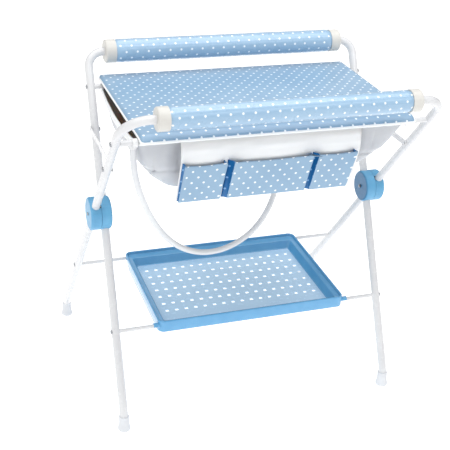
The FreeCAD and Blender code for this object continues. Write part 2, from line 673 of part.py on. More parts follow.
def tray_holes(floor_z):
    gap_x = 2 * HOLES_HALF_X / (HOLE_COLUMNS - 1)
    gap_y = (HOLES_LAST_Y - HOLES_FIRST_Y) / (HOLE_ROWS - 1)
    holes = []
    for column in range(HOLE_COLUMNS):
        for row in range(HOLE_ROWS):
            x = HOLES_X - HOLES_HALF_X + column * gap_x - HOLE / 2
            y = HOLES_FIRST_Y + row * gap_y - HOLE / 2
            holes.append(Part.makeBox(HOLE, HOLE, 12.0, V(x, y, floor_z - 4.0)))
    return Part.makeCompound(holes)


def tray_shape():
    """A basin with a ledge over the bars, an upright rim and an outer wall at the front and sides."""
    floor_z = TRAY_RIM_Z - TRAY_DEPTH
    outer = Part.makeLoft([
        basin_loop(TRAY_TAPER, floor_z),
        basin_loop(0.0, LEDGE_TOP),
    ], True, True)
    inner = Part.makeLoft([
        basin_loop(TRAY_TAPER + TRAY_T, floor_z + TRAY_T),
        basin_loop(TRAY_T, LEDGE_TOP + 0.01),
    ], True, True)
    upper = tray_block(0.0, LEDGE_UNDER, TRAY_RIM_Z)
    upper = upper.cut(tray_block(SKIRT_T, LEDGE_TOP, TRAY_RIM_Z + 1.0))
    skirt = tray_block(0.0, SKIRT_Z, TRAY_RIM_Z - 1.0)
    skirt = skirt.cut(tray_block(SKIRT_T, SKIRT_Z - 1.0, TRAY_RIM_Z))
    behind = TRAY_LINE.Length - SKIRT_BACK
    skirt = skirt.cut(Part.makeBox(2 * ALL_X, 100.0, 40.0, V(-ALL_X, behind, LEDGE_UNDER - 40.0)))
    # the side walls are notched from below for the front bar
    notch_y = TRAY_BAR_R + 0.6
    notch = Part.makeBox(2 * ALL_X, 2 * notch_y, 40.0, V(-ALL_X, -notch_y, LEDGE_UNDER - 40.0))
    skirt = skirt.cut(notch)
    shell = upper.fuse(outer).fuse(skirt).cut(inner)
    return shell.cut(tray_holes(floor_z))


def tray_clip(wall_x, outward):
    """A half-round clip over the front tray bar, on the outside of a side wall."""
    ends = (wall_x + outward * CLIP_OUT, wall_x - outward * CLIP_IN)
    x0, x1 = min(ends), max(ends)
    clip = rod(x0, x1, (0.0, 0.0), CLIP_R).cut(rod(x0 - 1, x1 + 1, (0.0, 0.0), TRAY_BAR_R + 0.05))
    below = Part.makeBox(x1 - x0 + 2, 3 * CLIP_R, CLIP_R + 1, V(x0 - 1, -1.5 * CLIP_R, -CLIP_R - 1))
    return clip.cut(below)


tray_body = tray_shape()
for wall_x, outward in ((TRAY_LEFT, -1.0), (TRAY_RIGHT, 1.0)):
    tray_body = tray_body.fuse(tray_clip(wall_x, outward))
tray_body = tray_body.removeSplitter()
write("tray", on_tray(tray_body))
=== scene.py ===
import json
import math

import bmesh
import bpy
from mathutils import Matrix, Vector, noise


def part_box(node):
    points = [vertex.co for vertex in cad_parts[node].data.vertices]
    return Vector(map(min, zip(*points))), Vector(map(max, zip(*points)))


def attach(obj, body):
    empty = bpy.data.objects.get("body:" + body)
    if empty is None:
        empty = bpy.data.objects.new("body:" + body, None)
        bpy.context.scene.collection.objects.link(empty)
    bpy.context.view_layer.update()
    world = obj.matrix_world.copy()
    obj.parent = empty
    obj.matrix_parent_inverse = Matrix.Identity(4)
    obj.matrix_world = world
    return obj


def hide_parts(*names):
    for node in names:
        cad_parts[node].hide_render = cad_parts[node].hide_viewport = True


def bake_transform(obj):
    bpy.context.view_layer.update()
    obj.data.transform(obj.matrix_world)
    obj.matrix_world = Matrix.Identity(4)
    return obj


# A folding changing table: rolls, padded top, soft bath, pockets, drain hose and shelf tray,
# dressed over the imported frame. Metres: +X to the right, +Y to the rear, +Z up.

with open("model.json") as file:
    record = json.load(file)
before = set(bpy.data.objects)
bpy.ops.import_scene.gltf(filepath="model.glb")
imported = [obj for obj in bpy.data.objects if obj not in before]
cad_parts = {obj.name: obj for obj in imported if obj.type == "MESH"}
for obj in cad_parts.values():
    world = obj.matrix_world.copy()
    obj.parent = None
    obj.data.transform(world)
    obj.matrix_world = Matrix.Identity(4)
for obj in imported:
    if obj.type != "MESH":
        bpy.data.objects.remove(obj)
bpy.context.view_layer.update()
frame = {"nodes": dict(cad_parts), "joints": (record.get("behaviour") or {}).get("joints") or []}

# ---- places taken from the frame ---------------------------------------------------------
JOINT_AT = {j["name"]: Vector(j["pos_m"]) for j in frame["joints"]}
HUB = JOINT_AT["fold"]
REAR_BAR = JOINT_AT["top_lift"]
FRONT_BAR = JOINT_AT["pocket_swing"]
FRONT_TRAY_BAR = JOINT_AT["tray_tilt"]


def middle(node):
    low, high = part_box(node)
    return (low + high) / 2


def hub_point(x, y, z):
    """A point given from the hubs' axis in Y and from the floor in Z."""
    return Vector((x, HUB.y + y, z))


def tilted_frame(front, rear, origin):
    """A frame with its origin on a cross bar and its Y along the line between two bars."""
    line = rear - front
    pitch = math.atan2(line.z, line.y)
    return Matrix.Translation(origin) @ Matrix.Rotation(pitch, 4, "X"), math.hypot(line.y, line.z)


ON_TOP, TOP_BARS_APART = tilted_frame(FRONT_BAR, REAR_BAR, REAR_BAR)
REAR_TRAY_BAR = middle("rear_tray_bar")
ON_TRAY, TRAY_BARS_APART = tilted_frame(FRONT_TRAY_BAR, REAR_TRAY_BAR, FRONT_TRAY_BAR)


# ---- mesh building -----------------------------------------------------------------------
class Form:
    """Points and faces gathered for one piece, with cloth coordinates in metres."""

    def __init__(self):
        self.points = []
        self.faces = []
        self.cloth = []
        self.face_slot = []
        self.slot = 0

    def add_face(self, corners, cloth=None):
        self.faces.append(corners)
        self.cloth.append(cloth or [(0.0, 0.0)] * len(corners))
        self.face_slot.append(self.slot)

    def grid(self, columns, rows, place, measure, skip=None):
        """A grid of quads from place(u, v), with u and v from 0 to 1, without those to skip."""
        first = len(self.points)
        wide = columns + 1
        for j in range(rows + 1):
            for i in range(wide):
                self.points.append(place(i / columns, j / rows))
        for j in range(rows):
            for i in range(columns):
                if skip and skip(i, j):
                    continue
                a = first + j * wide + i
                b = a + 1
                u0, u1 = i / columns, (i + 1) / columns
                v0, v1 = j / rows, (j + 1) / rows
                cloth = [measure(u0, v0), measure(u1, v0), measure(u1, v1), measure(u0, v1)]
                self.add_face((a, b, b + wide, a + wide), cloth)

    def rings(self, loops, cap_first=False, cap_last=False):
        """Quads between closed loops that all have the same number of points."""
        first = len(self.points)
        count = len(loops[0])
        for loop in loops:
            self.points += loop
        for k in range(len(loops) - 1):
            for i in range(count):
                a = first + k * count + i
                b = first + k * count + (i + 1) % count
                self.add_face((a, b, b + count, a + count))
        if cap_first:
            self.add_face(tuple(range(first + count - 1, first - 1, -1)))
        if cap_last:
            last = first + (len(loops) - 1) * count
            self.add_face(tuple(range(last, last + count)))

    def prism(self, outline, x0, x1):
        """A closed (y, z) outline drawn out along X."""
        self.rings([[Vector((x, y, z)) for y, z in outline] for x in (x0, x1)], True, True)

    def piece(self, name, *materials, sharp=35.0, weld=0.0, matrix=None):
        """The finished object, with edges sharper than the given angle left unsmoothed."""
        mesh = bpy.data.meshes.new(name)
        mesh.from_pydata([tuple(p) for p in self.points], [], self.faces)
        layer = mesh.uv_layers.new(name="cloth")
        flat = [c for face in self.cloth for c in face]
        for corner, uv in zip(layer.data, flat):
            corner.uv = uv
        for polygon, slot in zip(mesh.polygons, self.face_slot):
            polygon.material_index = slot
        for material in materials:
            mesh.materials.append(material)
        if matrix is not None:
            mesh.transform(matrix)
        work = bmesh.new()
        work.from_mesh(mesh)
        if weld:
            bmesh.ops.remove_doubles(work, verts=work.verts, dist=weld)
        bmesh.ops.recalc_face_normals(work, faces=work.faces)
        work.to_mesh(mesh)
        work.free()
        mesh.shade_smooth()
        mesh.set_sharp_from_angle(angle=math.radians(sharp))
        obj = bpy.data.objects.new(name, mesh)
        bpy.context.scene.collection.objects.link(obj)
        return obj


def grid_border(columns, rows):
    """The grid positions along a grid's four edges, in order."""
    border = [(i, 0) for i in range(columns)] + [(columns, j) for j in range(rows)]
    border += [(i, rows) for i in range(columns, 0, -1)] + [(0, j) for j in range(rows, 0, -1)]
    return border


def smooth_step(t):
    t = max(0.0, min(1.0, t))
    return t * t * (3 - 2 * t)


def ripple(x, y, z, size, height):
    """A repeatable soft unevenness, about size across and height tall."""
    return height * noise.noise(Vector((x, y, z)) / size)


def thicken(obj, thickness):
    """Give a sheet its thickness, half to each side."""
    wall = obj.modifiers.new("wall", "SOLIDIFY")
    wall.thickness = thickness
    wall.offset = 0.0
    wall.use_even_offset = True


# ---- materials ---------------------------------------------------------------------------
class Finish:
    """A Principled material with helpers for its procedural detail."""

    def __init__(self, name, roughness, **sockets):
        self.material = bpy.data.materials.new(name)
        self.material.use_nodes = True
        self.tree = self.material.node_tree
        self.shader = self.tree.nodes["Principled BSDF"]
        self.shader.inputs["Roughness"].default_value = roughness
        for socket, value in sockets.items():
            self.shader.inputs[socket.replace("_", " ")].default_value = value
        self.place = self.node("ShaderNodeTexCoord").outputs["Object"]

    def node(self, kind, **settings):
        made = self.tree.nodes.new(kind)
        for key, value in settings.items():
            setattr(made, key, value)
        return made

    def link(self, source, target):
        self.tree.links.new(source, target)

    def cloth_place(self):
        """Texture the piece in its own cloth coordinates, so that it keeps with a bending mesh."""
        self.place = self.node("ShaderNodeUVMap", uv_map="cloth").outputs["UV"]

    def noise(self, size, detail=3.0):
        texture = self.node("ShaderNodeTexNoise")
        texture.inputs["Scale"].default_value = 1.0 / size
        texture.inputs["Detail"].default_value = detail
        self.link(self.place, texture.inputs["Vector"])
        return texture.outputs["Fac"]

    def ramp(self, source, low, high, to_low, to_high):
        mapping = self.node("ShaderNodeMapRange", clamp=True)
        mapping.inputs["From Min"].default_value = low
        mapping.inputs["From Max"].default_value = high
        mapping.inputs["To Min"].default_value = to_low
        mapping.inputs["To Max"].default_value = to_high
        self.link(source, mapping.inputs["Value"])
        return mapping.outputs["Result"]

    def blend_colour(self, amount, first, second):
        mix = self.node("ShaderNodeMix", data_type="RGBA")
        self.link(amount, mix.inputs["Factor"])
        for socket, colour in ((mix.inputs[6], first), (mix.inputs[7], second)):
            if isinstance(colour, tuple):
                socket.default_value = (*colour, 1.0)
            else:
                self.link(colour, socket)
        return mix.outputs[2]

    def colour(self, source):
        self.link(source, self.shader.inputs["Base Color"])

    def mottle(self, light, dark, size):
        """The base colour drifts between two close tones."""
        tone = self.blend_colour(self.ramp(self.noise(size), 0.35, 0.65, 0.0, 1.0), light, dark)
        self.colour(tone)
        return tone

    def uneven_gloss(self, size, low, high):
        self.link(self.ramp(self.noise(size, 4.0), 0.3, 0.7, low, high), self.shader.inputs["Roughness"])

    def relief(self, height, distance, strength=1.0, after=None):
        bump = self.node("ShaderNodeBump")
        bump.inputs["Strength"].default_value = strength
        bump.inputs["Distance"].default_value = distance
        self.link(height, bump.inputs["Height"])
        if after:
            self.link(after, bump.inputs["Normal"])
        self.link(bump.outputs["Normal"], self.shader.inputs["Normal"])
        return bump.outputs["Normal"]

    def vector(self, operation, source, value=None):
        step = self.node("ShaderNodeVectorMath", operation=operation)
        self.link(source, step.inputs[0])
        if value is not None:
            step.inputs[1].default_value = value
        return step

    def dots(self, across, along, radius):
        """Staggered round dots: 1 inside a dot and 0 outside."""
        uv = self.node("ShaderNodeUVMap", uv_map="cloth").outputs["UV"]
        cells = self.vector("DIVIDE", uv, (across, along, 1.0)).outputs["Vector"]
        nearest = []
        for half in (0.0, 0.5):
            moved = self.vector("ADD", cells, (half, half, 0.0)).outputs["Vector"]
            inside = self.vector("FRACTION", moved).outputs["Vector"]
            centred = self.vector("SUBTRACT", inside, (0.5, 0.5, 0.0)).outputs["Vector"]
            offset = self.vector("MULTIPLY", centred, (across, along, 0.0)).outputs["Vector"]
            nearest.append(self.vector("LENGTH", offset).outputs["Value"])
        least = self.node("ShaderNodeMath", operation="MINIMUM")
        self.link(nearest[0], least.inputs[0])
        self.link(nearest[1], least.inputs[1])
        return self.ramp(least.outputs["Value"], radius - DOT_EDGE, radius + DOT_EDGE, 1.0, 0.0)


MOULD_GRAIN = 0.0009                   # size and depth of the grain on moulded plastic
MOULD_RELIEF = 0.00006
HUB_HALF = 0.028                       # thickness of one half of a hub
HUB_EDGE = 0.003                       # the painted shade on the inner face gives way to the rim over this depth


def powder_coat():
    finish = Finish("white_powder_coat", 0.24, Coat_Weight=0.35, Coat_Roughness=0.08)
    finish.mottle((0.72, 0.725, 0.735), (0.68, 0.685, 0.70), 0.09)
    finish.uneven_gloss(0.02, 0.2, 0.3)
    finish.relief(finish.noise(0.0022), 0.00012, 0.5)
    return finish.material


def moulded(name, light, dark, roughness, coat=0.0):
    """Plastic with a slow drift of tone and a fine grain."""
    finish = Finish(name, roughness, Coat_Weight=coat, Coat_Roughness=0.1)
    finish.mottle(light, dark, 0.05)
    finish.uneven_gloss(0.012, roughness - 0.05, roughness + 0.06)
    finish.relief(finish.noise(MOULD_GRAIN), MOULD_RELIEF, 0.6)
    return finish.material


def hub_moulding():
    """Blue plastic, with painted shade on the flat inner faces, which are made a darker blue."""
    finish = Finish("hub_plastic", 0.38, Coat_Weight=0.1, Coat_Roughness=0.1)
    rim = finish.mottle((0.13, 0.41, 0.66), (0.11, 0.36, 0.61), 0.05)
    split = finish.node("ShaderNodeSeparateXYZ")
    finish.link(finish.place, split.inputs[0])
    outward = finish.node("ShaderNodeMath", operation="ABSOLUTE")
    finish.link(split.outputs["X"], outward.inputs[0])
    inner_x = middle("hub_inner_shell_right").x - HUB_HALF / 2
    out_of_painted_shade = finish.ramp(outward.outputs["Value"], inner_x, inner_x + HUB_EDGE, 0.0, 1.0)
    # painted shade: the flat inner faces take a dark blue that fades into the rim's colour
    finish.colour(finish.blend_colour(out_of_painted_shade, (0.035, 0.17, 0.34), rim))
    finish.uneven_gloss(0.012, 0.33, 0.44)
    finish.relief(finish.noise(MOULD_GRAIN), MOULD_RELIEF, 0.6)
    return finish.material


def dotted_vinyl(name, light, dark, dot, roughness=0.36, coat=0.0):
    """Coated fabric with small printed dots and a fine grain."""
    finish = Finish(name, roughness, Coat_Weight=coat, Coat_Roughness=0.25)
    finish.cloth_place()
    ground = finish.mottle(light, dark, 0.11)
    printed = finish.dots(DOT_ACROSS, DOT_ALONG, DOT_RADIUS)
    finish.colour(finish.blend_colour(printed, ground, dot))
    finish.uneven_gloss(0.03, roughness - 0.05, roughness + 0.07)
    fine = finish.relief(finish.noise(0.0011, 5.0), 0.00012, 0.5)
    finish.relief(printed, 0.0001, 0.4, fine)
    return finish.material


def white_vinyl(name, light, dark):
    """Plain coated fabric with soft waves and a fine grain."""
    roughness = 0.34
    finish = Finish(name, roughness, Subsurface_Weight=0.05)
    finish.cloth_place()
    finish.mottle(light, dark, 0.07)
    finish.uneven_gloss(0.025, roughness - 0.06, roughness + 0.08)
    soft = finish.relief(finish.noise(0.03, 2.0), 0.0015, 0.35)
    finish.relief(finish.noise(0.0012, 4.0), 0.0001, 0.5, soft)
    return finish.material


def zinc():
    finish = Finish("zinc_plated_steel", 0.34, Metallic=1.0)
    finish.mottle((0.42, 0.43, 0.45), (0.3, 0.31, 0.33), 0.004)
    finish.uneven_gloss(0.003, 0.26, 0.45)
    finish.relief(finish.noise(0.0012), 0.00005, 0.5)
    return finish.material


def hose_vinyl():
    finish = Finish("clear_white_hose", 0.2, Coat_Weight=0.5)
    finish.mottle((0.74, 0.76, 0.78), (0.68, 0.70, 0.73), 0.06)
    finish.uneven_gloss(0.02, 0.16, 0.26)
    finish.relief(finish.noise(0.003), 0.00008, 0.5)
    return finish.material


DOT_ACROSS = 0.030
DOT_ALONG = 0.034
DOT_RADIUS = 0.0029
DOT_EDGE = 0.0004                      # a dot's edge fades over this much to each side
SKY_LIGHT = (0.262, 0.415, 0.575)
SKY_DARK = (0.238, 0.386, 0.550)
DOT_WHITE = (0.88, 0.93, 0.97)

ENAMEL = powder_coat()
FOOT_PLASTIC = moulded("foot_plastic", (0.74, 0.76, 0.79), (0.69, 0.71, 0.74), 0.42)
CAP_PLASTIC = moulded("cap_plastic", (0.66, 0.65, 0.615), (0.63, 0.615, 0.58), 0.38, 0.1)
HUB_PLASTIC = hub_moulding()
TRAY_PLASTIC = moulded("tray_plastic", (0.12, 0.395, 0.69), (0.10, 0.365, 0.66), 0.16, 0.7)
# painted light: the basin's floor is a much lighter copy of the tray's blue, standing in for light
# through the thin floor and lifting the shade it lies in
TRAY_FLOOR = moulded("tray_floor", (0.50, 0.73, 0.94), (0.47, 0.70, 0.92), 0.24, 0.3)
FITTING = moulded("fitting_plastic", (0.8, 0.81, 0.82), (0.76, 0.77, 0.78), 0.3)
# painted shade: near black for the top's underside and its underboard, where the gap under the top's
# edge is in shade
PAINTED_SHADE_BLACK = moulded("board_back_painted_shade", (0.012, 0.012, 0.014), (0.008, 0.008, 0.010), 0.85)
ZINC = zinc()
HOSE = hose_vinyl()
SKY_VINYL = dotted_vinyl("sky_dotted_vinyl", SKY_LIGHT, SKY_DARK, DOT_WHITE, coat=0.35)
# painted light: the rolls' cover is the same fabric as the top's, in a lighter copy of its blue
ROLL_VINYL = dotted_vinyl("roll_dotted_vinyl", (0.32, 0.49, 0.66), (0.295, 0.46, 0.635), DOT_WHITE,
                          roughness=0.28, coat=0.8)
# painted shade: a darker copy of the dotted vinyl, with darker dots, for the pouches' side gussets in
# shade
SHADED_DOTTED_VINYL = dotted_vinyl("dotted_vinyl_painted_shade", (0.008, 0.17, 0.45), (0.006, 0.14, 0.39),
                          (0.25, 0.5, 0.8))
# painted shade: the bath is the same white vinyl as the trim, in a much darker copy
BATH_VINYL = white_vinyl("bath_vinyl", (0.58, 0.59, 0.62), (0.53, 0.54, 0.58))
TRIM_VINYL = white_vinyl("trim_vinyl", (0.93, 0.93, 0.935), (0.89, 0.895, 0.90))


def dress(material, *nodes):
    """Give CAD nodes this material."""
    for name in nodes:
        mesh = frame["nodes"][name].data
        mesh.materials.clear()
        mesh.materials.append(material)


SIDES = ("left", "right")


def dress_frame():
    """Materials for the CAD nodes that stay in view."""
    for side in SIDES:
        dress(ENAMEL, f"inner_leg_{side}", f"outer_leg_{side}")
        dress(ENAMEL, f"brace_upper_link_{side}", f"brace_lower_link_{side}")
        dress(FOOT_PLASTIC, f"foot_front_{side}", f"foot_rear_{side}")
        dress(CAP_PLASTIC, f"rear_roll_cap_{side}", f"front_roll_cap_{side}")
        dress(HUB_PLASTIC, f"hub_inner_shell_{side}", f"hub_outer_shell_{side}")
        dress(ZINC, f"hub_bolt_{side}", f"hub_nut_{side}")
    dress(ENAMEL, "rear_roll_bar", "front_roll_bar", "rear_tub_bar", "front_tub_bar")
    dress(ENAMEL, "front_tray_bar", "rear_tray_bar")
    dress(ZINC, "inner_frame_rivets", "outer_frame_rivets", "brace_pins")
    dress(CAP_PLASTIC, "hinge_sleeves", "top_hinge_eyes")
    dress(FITTING, "bath_drain", "hose_stopper", "hose_holder")


# ---- camera ------------------------------------------------------------------------------
CAMERA_AT = hub_point(-0.888, -2.29656, 1.5366)
CAMERA_TURN = (20.187, 22.664, 2.026)  # yaw, pitch down and roll, in degrees
CAMERA_LENS = 77.13
CAMERA_SHIFT = -0.0358


def studio_camera():
    yaw, pitch, roll = (math.radians(a) for a in CAMERA_TURN)
    ahead = Vector((math.sin(yaw) * math.cos(pitch), math.cos(yaw) * math.cos(pitch), -math.sin(pitch)))
    level = Vector((math.cos(yaw), -math.sin(yaw), 0.0))
    above = level.cross(ahead)
    right = level * math.cos(roll) + above * math.sin(roll)
    up = above * math.cos(roll) - level * math.sin(roll)
    data = bpy.data.cameras.new("camera")
    data.lens = CAMERA_LENS
    data.sensor_width = 36.0
    data.shift_y = CAMERA_SHIFT
    data.clip_end = 100.0
    camera = bpy.data.objects.new("camera", data)
    turn = Matrix((right, up, -ahead)).transposed()
    camera.matrix_world = Matrix.Translation(CAMERA_AT) @ turn.to_4x4()
    bpy.context.scene.collection.objects.link(camera)
    bpy.context.scene.camera = camera


# ---- drain hose --------------------------------------------------------------------------
HOSE_DIAMETER = 0.015
# out of the drain, down in a loop and up to its holder by the front bar; y from the hubs' axis
HOSE_ROUTE = [
    (0.082, -0.062, 0.655),
    (0.082, -0.062, 0.622),
    (0.072, -0.070, 0.580),
    (0.054, -0.078, 0.540),
    (0.027, -0.086, 0.503),
    (-0.008, -0.094, 0.474),
    (-0.052, -0.103, 0.454),
    (-0.100, -0.113, 0.446),
    (-0.150, -0.125, 0.452),
    (-0.197, -0.139, 0.472),
    (-0.239, -0.155, 0.504),
    (-0.275, -0.171, 0.546),
    (-0.305, -0.188, 0.594),
    (-0.330, -0.205, 0.646),
    (-0.350, -0.220, 0.701),
    (-0.361, -0.230, 0.752),
    (-0.363, -0.234, 0.796),
]


def drain_hose():
    curve = bpy.data.curves.new("drain_hose_tube", "CURVE")
    curve.dimensions = "3D"
    curve.resolution_u = 12
    curve.bevel_depth = HOSE_DIAMETER / 2
    curve.bevel_resolution = 6
    curve.use_fill_caps = True
    spline = curve.splines.new("NURBS")
    spline.points.add(len(HOSE_ROUTE) - 1)
    for point, place in zip(spline.points, HOSE_ROUTE):
        point.co = (*hub_point(*place), 1.0)
    spline.order_u = 3
    spline.use_endpoint_u = True
    curve.materials.append(HOSE)
    hose = bpy.data.objects.new("drain_hose_tube", curve)
    bpy.context.scene.collection.objects.link(hose)
    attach(hose, "outer_frame")
    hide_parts("drain_hose")
    hub_point(*HOSE_ROUTE[0])


# ---- rolls and hems ----------------------------------------------------------------------
SLEEVE_STEP = 0.004                    # length of one face along a sleeve
SLEEVE_SIDES = 48
GATHER_LENGTH = 0.012                  # a sleeve draws in over this length at each end
GATHER_FOLDS = 26
COVER_GAP = 0.0003                     # between a roll's cover and its end caps
COVER_THICK = 0.0006
COVER_GATHER = 0.0024
COVER_UNEVEN = 0.0006


def sleeve(name, material, x0, x1, centre, radius, gather, uneven):
    """A soft sleeve round a bar, drawn in a little at its ends."""
    form = Form()
    columns = max(8, round((x1 - x0) / SLEEVE_STEP))
    end = min(GATHER_LENGTH, (x1 - x0) / 4)

    def place(u, v):
        x = x0 + (x1 - x0) * u
        angle = 2 * math.pi * v
        from_end = min(x - x0, x1 - x)
        near = (1 - min(1.0, from_end / end)) ** 2
        r = radius - gather * near + 0.3 * gather * near * math.sin(GATHER_FOLDS * angle)
        r += ripple(x, 0.02 * math.cos(angle), 0.02 * math.sin(angle), 0.035, uneven)
        return Vector((x, centre.y - r * math.sin(angle), centre.z - r * math.cos(angle)))

    def measure(u, v):
        return (x0 + (x1 - x0) * u, 2 * math.pi * radius * v)

    form.grid(columns, SLEEVE_SIDES, place, measure)
    obj = form.piece(name, material, weld=1e-6)
    return obj


def rolls():
    for name, body in (("rear_roll", "inner_frame"), ("front_roll", "outer_frame")):
        low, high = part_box(name + "_pad")
        centre = (low + high) / 2
        radius = (high.z - low.z) / 2
        obj = sleeve(name + "_cover", ROLL_VINYL, low.x + COVER_GAP, high.x - COVER_GAP, centre,
                     radius + COVER_THICK, COVER_GATHER, COVER_UNEVEN)
        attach(obj, body)
        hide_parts(name + "_pad")


# ---- padded top --------------------------------------------------------------------------
TOP_UNDER = 0.0096                     # from the rear bar's axis to the top's underside
TOP_THICK = 0.012
TOP_CORNER = 0.010
PIPING_R = 0.0028
PIPING_UP = 0.0036                     # its middle, above the top's underside
PIPING_STEP = 0.006
TOP_COLUMNS, TOP_ROWS = 100, 56
EDGE_ZONE = 0.024                      # the mesh is finer this close to the edges
EDGE_STEPS = 8
FRONT_ROUND, FRONT_FALL = 0.022, 0.0085
SIDE_ROUND, SIDE_FALL = 0.009, 0.006
CROWN = 0.0012
FRONT_DROOP = 0.006                    # the strip in front of the front bar sinks this far
DROOP_FROM, DROOP_OVER = 0.004, 0.027
UNDERBOARD = 0.015                     # how far the underboard, painted black as shade, reaches below the top
UNDERBOARD_IN = 0.007
UNDERBOARD_CORNER = 0.006
UNDERBOARD_BEVEL = 0.002
UNDERBOARD_GAP = 0.0003                # below the padding
REAR_BAR_ROOM = 0.016                  # the board starts this far in front of the rear bar
FOLDED_APART = 0.148                   # between the bath bars when the frame is folded
BAR_ROOM = 0.0165                      # the folded front bar and its sleeve need this much room


def top_outline():
    """The top's half width and its front and rear edges, in its own frame."""
    inward = ON_TOP.inverted()
    points = [inward @ v.co for v in frame["nodes"]["top_piping"].data.vertices]
    ys = [p.y for p in points]
    return max(p.x for p in points), min(ys), max(ys)


TOP_HALF_X, TOP_FRONT, TOP_REAR = top_outline()


def droop(y):
    past_bar = -TOP_BARS_APART - DROOP_FROM - y
    return FRONT_DROOP * smooth_step(past_bar / DROOP_OVER)


def spread(count, low, high):
    """Positions from low to high, with count even steps inside and finer ones at both edges."""
    near = [low + EDGE_ZONE * k / EDGE_STEPS for k in range(EDGE_STEPS)]
    inside = [low + EDGE_ZONE + (high - low - 2 * EDGE_ZONE) * k / count for k in range(count + 1)]
    far = [high - EDGE_ZONE + EDGE_ZONE * (k + 1) / EDGE_STEPS for k in range(EDGE_STEPS)]
    return near + inside + far


def round_corner(x, y, half_x, low_y, high_y, radius):
    """Draws the square corner of a rectangle in to a round one."""
    centre_x = math.copysign(half_x - radius, x)
    across = (abs(x) - (half_x - radius)) / radius
    if y > high_y - radius:
        centre_y, side, along = high_y - radius, 1.0, (y - high_y + radius) / radius
    else:
        centre_y, side, along = low_y + radius, -1.0, (low_y + radius - y) / radius
    if across <= 0 or along <= 0:
        return x, y
    return (
        centre_x + math.copysign(radius * across * math.sqrt(1 - along * along / 2), x),
        centre_y + side * radius * along * math.sqrt(1 - across * across / 2),
    )


def padded_top():
    xs = spread(TOP_COLUMNS, -TOP_HALF_X + PIPING_R, TOP_HALF_X - PIPING_R)
    ys = spread(TOP_ROWS, TOP_FRONT + PIPING_R, TOP_REAR - PIPING_R)
    columns, rows = len(xs) - 1, len(ys) - 1
    half_x = xs[-1]
    form = Form()

    def height(x, y):
        front = y - ys[0]
        nearest = min(half_x - abs(x), ys[-1] - y)
        fall_front = max(0.0, 1 - front / FRONT_ROUND)
        fall = max(0.0, 1 - nearest / SIDE_ROUND)
        edge = FRONT_FALL * (1 - math.sqrt(max(0.0, 1 - fall_front ** 2)))
        edge += SIDE_FALL * (1 - math.sqrt(max(0.0, 1 - fall ** 2)))
        crown = CROWN * (1 - (x / half_x) ** 2)
        inside = smooth_step(min(front, nearest) / 0.05)
        soft = inside * (crown + ripple(x, y, 0, 0.09, 0.0008))
        return TOP_UNDER + TOP_THICK - min(edge, FRONT_FALL) - droop(y) + soft

    def measure(u, v):
        return (xs[round(u * columns)], ys[round(v * rows)])

    def top(u, v):
        x, y = measure(u, v)
        z = height(x, y)
        return Vector((*round_corner(x, y, half_x, ys[0], ys[-1], TOP_CORNER), z))

    def bottom(u, v):
        x, y = measure(u, v)
        z = TOP_UNDER - droop(y)
        return Vector((*round_corner(x, y, half_x, ys[0], ys[-1], TOP_CORNER), z))

    form.grid(columns, rows, top, measure)
    border = grid_border(columns, rows)
    upper = [top(i / columns, j / rows) for i, j in border]
    lower = [bottom(i / columns, j / rows) for i, j in border]
    form.rings([upper, lower])
    # the underside is painted black as shade
    form.slot = 1
    form.grid(columns, rows, bottom, measure)
    obj = form.piece("top_cushion", SKY_VINYL, PAINTED_SHADE_BLACK, sharp=60, weld=1e-6, matrix=ON_TOP)
    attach(obj, "changing_top")
    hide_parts("top_pad")


def underboard():
    """The stiffening board under the top, behind the travel of the front bar, painted black as the shade
    seen in the gap below the top's edge.
    """
    form = Form()
    loops = []
    face = TOP_UNDER - UNDERBOARD
    for inset, z in ((0.0, TOP_UNDER - UNDERBOARD_GAP), (0.0, face + UNDERBOARD_BEVEL),
                     (UNDERBOARD_BEVEL, face)):
        half_x = TOP_HALF_X - UNDERBOARD_IN - inset
        low_y, high_y = -FOLDED_APART + BAR_ROOM + inset, -REAR_BAR_ROOM - inset
        loops.append(rounded_line(half_x, low_y, high_y, UNDERBOARD_CORNER, z))
    form.rings(loops, True, True)
    obj = form.piece("top_underboard", PAINTED_SHADE_BLACK, sharp=40, matrix=ON_TOP)
    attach(obj, "changing_top")
    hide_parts("top_core")


def rounded_line(half_x, low_y, high_y, radius, z):
    """A closed rectangle with round corners, in the top's own frame."""
    line = []
    steps = 8
    corners = ((half_x, low_y, -90), (half_x, high_y, 0), (-half_x, high_y, 90),
               (-half_x, low_y, 180))
    for x, y, start in corners:
        cx = x - math.copysign(radius, x)
        cy = y + radius if y == low_y else y - radius
        for k in range(steps + 1):
            a = math.radians(start + 90 * k / steps)
            line.append(Vector((cx + radius * math.cos(a), cy + radius * math.sin(a), z)))
    return line


def tube_along(form, line, radius):
    """A round cord along a closed, level line."""
    sides = 12
    loops = []
    for k, point in enumerate(line):
        ahead = (line[(k + 1) % len(line)] - line[k - 1]).normalized()
        out = ahead.cross(Vector((0, 0, 1)))
        ring = []
        for s in range(sides):
            a = 2 * math.pi * s / sides
            ring.append(point + out * radius * math.cos(a) + Vector((0, 0, radius * math.sin(a))))
        loops.append(ring)
    form.rings(loops + loops[:1])


def divided(line, longest):
    """A closed line with points added where its neighbours are far apart."""
    points = []
    for here, ahead in zip(line, line[1:] + line[:1]):
        count = max(1, math.ceil((ahead - here).length / longest))
        points += [here.lerp(ahead, k / count) for k in range(count)]
    return points


def top_piping():
    """White piping sewn round the top's lower edge."""
    form = Form()
    line = rounded_line(TOP_HALF_X - PIPING_R, TOP_FRONT + PIPING_R, TOP_REAR - PIPING_R,
                        TOP_CORNER, TOP_UNDER + PIPING_UP)
    line = divided(line, PIPING_STEP)
    for point in line:
        point.z -= droop(point.y)
    tube_along(form, line, PIPING_R)
    obj = form.piece("top_edge_piping", TRIM_VINYL, sharp=60, weld=1e-6, matrix=ON_TOP)
    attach(obj, "changing_top")
    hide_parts("top_piping")


